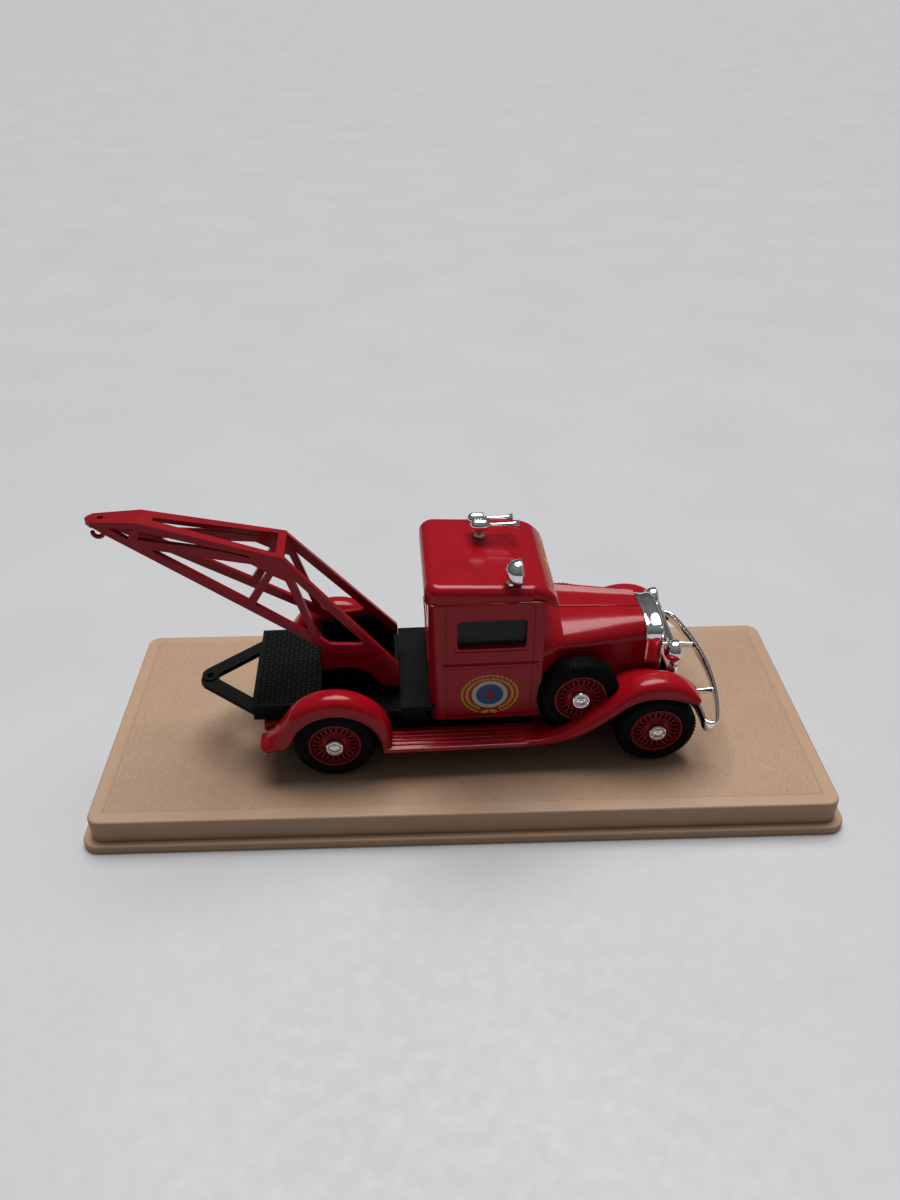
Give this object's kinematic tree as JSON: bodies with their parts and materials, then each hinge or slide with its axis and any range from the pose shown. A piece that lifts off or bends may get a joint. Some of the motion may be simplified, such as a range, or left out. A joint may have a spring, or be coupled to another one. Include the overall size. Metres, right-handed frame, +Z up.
{
  "type": "toy tow truck",
  "caption": "Vintage-style die-cast tow truck on a screwed display plinth: cab, spoked wheels that turn, spare wheels in the wings and a fixed lattice crane with a swivelling hook.",
  "frame": {"origin": "centre of the display plinth's underside", "axes": "+X towards the truck's front, +Y to the truck's left, +Z up; the truck's centreline is along X and the plinth is turned 1.9 degrees under it"},
  "size_m": [0.1476, 0.0658, 0.0565],
  "materials": {
    "plinth_plastic": "grained, satin",
    "red_paint": "glossy",
    "red_plastic": "glossy",
    "rim_plastic": "glossy",
    "black_plastic": "satin",
    "interior_plastic": "matte",
    "base_metal": "satin",
    "chrome": "polished",
    "steel": "satin",
    "tyre": "matte",
    "clear_pane": "clear",
    "lens": "clear"
  },
  "bodies": {
    "truck_on_plinth": {"display_plinth": "plinth_plastic", "plinth_screws": "steel", "base_plate": "base_metal", "base_rivets": "steel", "wing_casting": "red_paint", "bed_frame": "black_plastic", "tow_frame": "black_plastic", "crane_side_left": "red_plastic", "crane_side_right": "red_plastic", "crane_top_plate": "red_plastic", "cab_casting": "red_paint", "cab_glazing": "clear_pane", "interior_tub": "interior_plastic", "bench_seat": "interior_plastic", "dashboard": "interior_plastic", "steering_wheel": "interior_plastic", "radiator_shell": "chrome", "radiator_grille": "chrome", "headlight_left": "chrome", "headlight_right": "chrome", "headlight_lenses": "lens", "headlight_bar": "chrome", "front_bumper": "chrome", "air_horn_long": "chrome", "air_horn_short": "chrome", "horn_bracket": "chrome", "roof_spotlight": "chrome", "spotlight_lens": "lens", "spare_rim_left": "rim_plastic", "spare_tyre_left": "tyre", "spare_hubcap_left": "chrome", "spare_rim_right": "rim_plastic", "spare_tyre_right": "tyre", "spare_hubcap_right": "chrome"},
    "front_axle_set": {"front_axle": "steel", "front_rim_left": "rim_plastic", "front_rim_right": "rim_plastic", "front_tyre_left": "tyre", "front_tyre_right": "tyre", "front_hubcap_left": "chrome", "front_hubcap_right": "chrome"},
    "rear_axle_set": {"rear_axle": "steel", "rear_rim_left": "rim_plastic", "rear_rim_right": "rim_plastic", "rear_tyre_left": "tyre", "rear_tyre_right": "tyre", "rear_hubcap_left": "chrome", "rear_hubcap_right": "chrome"},
    "hook": {"crane_hook": "red_plastic"}
  },
  "joints": [
    {"name": "front_axle_spin", "type": "hinge", "parent": "truck_on_plinth", "child": "front_axle_set", "pos_m": [0.037, 0, 0.01455], "axis": [0, 1, 0], "continuous": true},
    {"name": "rear_axle_spin", "type": "hinge", "parent": "truck_on_plinth", "child": "rear_axle_set", "pos_m": [-0.0256, 0, 0.01455], "axis": [0, 1, 0], "continuous": true},
    {"name": "hook_swivel", "type": "hinge", "parent": "truck_on_plinth", "child": "hook", "pos_m": [-0.0654, 0, 0.056], "axis": [0, 0, 1], "range_deg": [-90, 90]}
  ]
}
